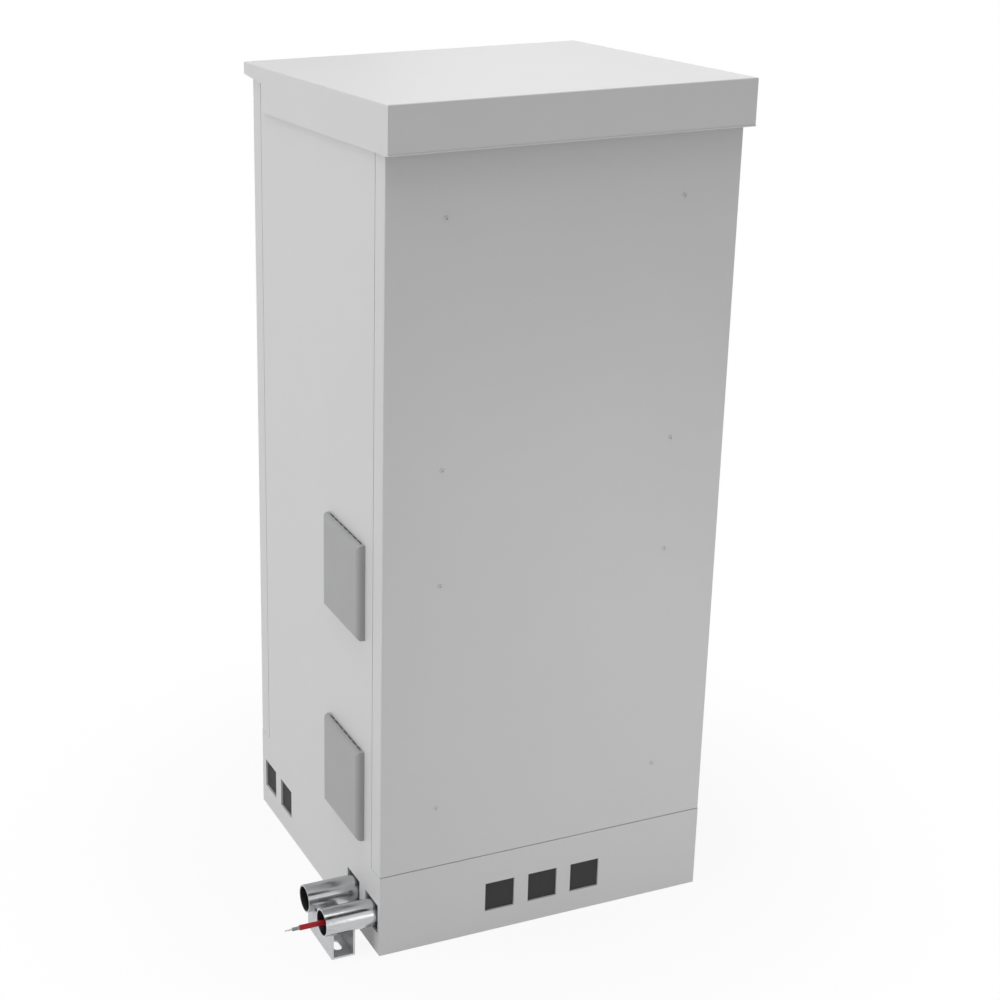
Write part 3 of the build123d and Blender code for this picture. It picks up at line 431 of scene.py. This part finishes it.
print("strands:", len(strand_places), "each", STRAND_MM, "mm")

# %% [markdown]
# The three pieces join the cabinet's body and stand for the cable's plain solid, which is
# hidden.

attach(cable_sheath, "cabinet")
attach(cable_core, "cabinet")
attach(cable_strands, "cabinet")
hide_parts("power_cable")
print("cable declared, bare end at", [round(value, 3) for value in cable_end])

# %% [markdown]
# Most finishes here share one make-up: soft clouds in the tone and a fine grain in the
# surface. Photographs of paint or plastic could be wrapped on, but noise in object
# coordinates has no seams and keeps its real size on every piece. A pattern's size is in
# millimetres and its depth in metres. Dark and light are shares of the finish's own
# colour, and crumble is how rough the noise itself is.

# %% Clouds and grain
MIX_DARK, MIX_LIGHT, MIX_RESULT = 6, 7, 2


def two_shades(tree, shader, factor, code, dark, light):
    """Let a pattern move the base colour between a darker and a lighter share of it."""
    tone = add_node(tree, "ShaderNodeMix", {"Factor": factor}, data_type="RGBA")
    base = Vector(paint(code)[:3])
    tone.inputs[MIX_DARK].default_value = (*(base * dark), 1)
    tone.inputs[MIX_LIGHT].default_value = (*(base * light), 1)
    tree.links.new(tone.outputs[MIX_RESULT], shader.inputs["Base Color"])


def grained_finish(name, code, roughness, gloss, clouds, grain):
    """A painted or moulded finish from its colour, its gloss, its clouds and its grain."""
    material, tree, shader, place = begin_material(name, roughness)
    shader.inputs["Specular IOR Level"].default_value = gloss
    patterns = [
        add_node(
            tree,
            "ShaderNodeTexNoise",
            {
                "Vector": place,
                "Scale": 1000 / pattern["size_mm"],
                "Detail": pattern["detail"],
                "Roughness": pattern["crumble"],
            },
        ).outputs["Fac"]
        for pattern in (clouds, grain)
    ]
    two_shades(tree, shader, patterns[0], code, clouds["dark"], clouds["light"])
    bump = add_node(
        tree,
        "ShaderNodeBump",
        {"Height": patterns[1], "Strength": grain["strength"], "Distance": grain["depth"]},
    )
    tree.links.new(bump.outputs["Normal"], shader.inputs["Normal"])
    return material


print("finish helpers are ready, materials so far:", len(bpy.data.materials))

# %% [markdown]
# Powder coat on sheet steel: dry paint powder, baked on. It gives an even light grey
# with a very fine orange peel that softens reflections. The handle and its plate have a
# black coat of the same kind. A mesh could carry the peel, but a bump in the shader costs
# no faces. The real grain is about 1 mm, too fine for this picture, so it is drawn at
# 3 mm.

# %% Powder-coated sheet
COAT_ROUGHNESS = 0.46
PLAIN_GLOSS = 0.5
COAT_CLOUDS = {"size_mm": 350, "detail": 3.0, "crumble": 0.6, "dark": 0.975, "light": 1.02}
ORANGE_PEEL = {"size_mm": 3, "detail": 2.0, "crumble": 0.5, "strength": 0.10, "depth": 0.0004}


def powder_coat(name, code):
    """Powder-coated steel with an orange peel grain and faint cloudy tone."""
    return grained_finish(name, code, COAT_ROUGHNESS, PLAIN_GLOSS, COAT_CLOUDS, ORANGE_PEEL)


grey_coat = powder_coat("powder_coat_light_grey", "#d1d1d2")
black_coat = powder_coat("powder_coat_black", "#26272a")
print("powder coats:", grey_coat.name, "and", black_coat.name)

# %% [markdown]
# Moulded plastics: the hoods are ABS with a fine spark-eroded grain, which looks matt
# and even. The entry covers, the fan and the rod guides are black polyamide, whose dry
# surface has next to no gloss. The fan's switch and the terminal block are pale
# polycarbonate. Each could have a shader of its own, but only the colour and the grain's
# size and depth set them apart, so one function with those as its inputs is enough.

# %% Moulded plastics
RESIN_CLOUDS = {"size_mm": 80, "detail": 2.0, "crumble": 0.5, "dark": 0.96, "light": 1.04}
ERODED_DEPTH = 0.0003


def moulded_plastic(name, code, roughness, grain_mm, depth=ERODED_DEPTH, gloss=PLAIN_GLOSS):
    """Injection-moulded plastic with a fine eroded grain."""
    grain = {
        "size_mm": grain_mm,
        "detail": 4.0,
        "crumble": 0.65,
        "strength": 0.22,
        "depth": depth,
    }
    return grained_finish(name, code, roughness, gloss, RESIN_CLOUDS, grain)


hood_abs = moulded_plastic("abs_eroded_grey", "#a4a4a5", 0.52, 1.6)
black_polyamide = moulded_plastic("polyamide_black", "#464647", 0.6, 1.2, gloss=0.05)
pale_polycarbonate = moulded_plastic("polycarbonate_pale_grey", "#d5d6d1", 0.36, 0.9)
print("moulded plastics:", hood_abs.name, black_polyamide.name, pale_polycarbonate.name)

# %% [markdown]
# Bare metals. The conduits are drawn steel tube with a bright zinc skin, so they mirror
# the white studio in long soft streaks. The rails and posts are zinc plated sheet with
# a faint crystal spangle. The hinges and the floor's entry plate are satin stainless
# steel, the earth bar is copper and the bare wire is tinned. An even roughness would look
# like chrome, so small cells with their own roughness break the reflections up. The rear
# panel's screws are painted over with the sheet, so they take the powder coat.

# %% Metals
METAL_DARK = 0.93
METAL_LIGHT = 1.04
DRAWN_ALONG_X = (0.25, 1, 1)


def bare_metal(name, code, roughness, spread, cell_mm, stretch=(1, 1, 1)):
    """Bare metal whose roughness drifts from cell to cell, along a drawn or rolled way."""
    material, tree, shader, place = begin_material(name, roughness, metallic=1.0)
    laid = add_node(tree, "ShaderNodeMapping", {"Vector": place, "Scale": stretch})
    cells = add_node(
        tree,
        "ShaderNodeTexVoronoi",
        {"Vector": laid.outputs["Vector"], "Scale": 1000 / cell_mm},
        feature="F1",
    )
    grey = add_node(tree, "ShaderNodeSeparateColor", {"Color": cells.outputs["Color"]})
    rough = add_node(
        tree,
        "ShaderNodeMapRange",
        {
            "Value": grey.outputs["Red"],
            "To Min": roughness - spread,
            "To Max": roughness + spread,
        },
    )
    tree.links.new(rough.outputs["Result"], shader.inputs["Roughness"])
    two_shades(tree, shader, grey.outputs["Green"], code, METAL_DARK, METAL_LIGHT)
    return material


bright_zinc = bare_metal("galvanised_tube", "#bfc0c1", 0.2, 0.04, 9, DRAWN_ALONG_X)
dull_zinc = bare_metal("galvanised_channel", "#c3c4c5", 0.55, 0.06, 7)
zinc_sheet = bare_metal("zinc_plated_sheet", "#b4b7b9", 0.38, 0.07, 11)
satin_stainless = bare_metal("stainless_satin", "#bfc0c0", 0.30, 0.05, 3)
bare_copper = bare_metal("copper_bar", "#c98a66", 0.32, 0.06, 14)
tinned_wire = bare_metal("tinned_copper_wire", "#d6d3cc", 0.28, 0.04, 1.2)
print("metals made, materials so far:", len(bpy.data.materials))

# %% [markdown]
# Soft finishes: black foam for the gaskets, rubber for the grommet, white fleece for the
# filter mats, and the extruded PVC of the cable's sheath and core. Foam and fleece could
# have a fibre or a pore each, but nobody comes that near to them here. So they use the
# plastic's grain, cut deeper, and PVC uses it very shallow.

# %% Soft finishes
FOAM_DEPTH = 0.001
FLEECE_DEPTH = 0.0015
PVC_DEPTH = 0.0001

foam_black = moulded_plastic("foam_rubber_black", "#1d1d1e", 0.9, 2.2, FOAM_DEPTH)
rubber_black = moulded_plastic("rubber_black", "#181818", 0.6, 1.5)
filter_fleece = moulded_plastic("fleece_white", "#ecece6", 0.95, 1.1, FLEECE_DEPTH)
red_pvc = moulded_plastic("pvc_red", "#a8141e", 0.40, 1.4, PVC_DEPTH, gloss=0.3)
grey_pvc = moulded_plastic("pvc_grey", "#858a88", 0.40, 1.4, PVC_DEPTH)
print("materials:", len(bpy.data.materials))

# %% [markdown]
# Every piece now gets the finish of the real one. The table goes from a finish to the
# names, or starts of names, of the pieces that wear it. Only the material slots of the
# model's pieces change, because their shapes are already right.

# %% Dress the pieces
FINISHES = [
    (grey_coat, ("side_panel", "plinth", "roof_cap", "front_frame", "rear_frame")),
    (grey_coat, ("rear_panel", "front_door", "floor_plate", "ceiling_tray")),
    (zinc_sheet, ("rear_post", "rack_rail", "rail_tie", "rod_keepers", "terminal_bracket")),
    (zinc_sheet, ("upper_rod", "lower_rod", "latch_cam", "fan_guard")),
    (satin_stainless, ("hinge_", "floor_entry_plate")),
    (bright_zinc, ("near_conduit", "far_conduit")),
    (dull_zinc, ("conduit_support",)),
    (hood_abs, ("upper_hood", "lower_hood", "upper_filter_frame", "lower_filter_frame")),
    (black_polyamide, ("rear_entry", "front_entry", "left_entry", "right_entry")),
    (black_polyamide, ("conduit_entry", "fan_frame", "fan_rotor", "rod_guides")),
    (black_coat, ("door_handle", "handle_plate")),
    (pale_polycarbonate, ("fan_switch", "terminal_block")),
    (foam_black, ("door_gasket", "rear_gasket")),
    (rubber_black, ("cable_grommet",)),
    (filter_fleece, ("upper_filter_mat", "lower_filter_mat")),
    (bare_copper, ("earth_bar",)),
]
CABLE_FINISHES = [
    (cable_sheath, red_pvc),
    (cable_core, grey_pvc),
    (cable_strands, tinned_wire),
]

dressed = set()
for finish, starts in FINISHES:
    for name, piece in parts.items():
        if name.startswith(starts):
            for held in piece.material_slots:
                held.material = finish
            dressed.add(name)
for piece, finish in CABLE_FINISHES:
    piece.data.materials.append(finish)
print("left undressed:", sorted(set(parts) - dressed - {"power_cable"}))

# %% [markdown]
# The usual view transform bends colours like film. The plain one shows a colour about as
# it is written, which suits a white studio.

# %% Plain colours
bpy.context.scene.view_settings.view_transform = "Standard"
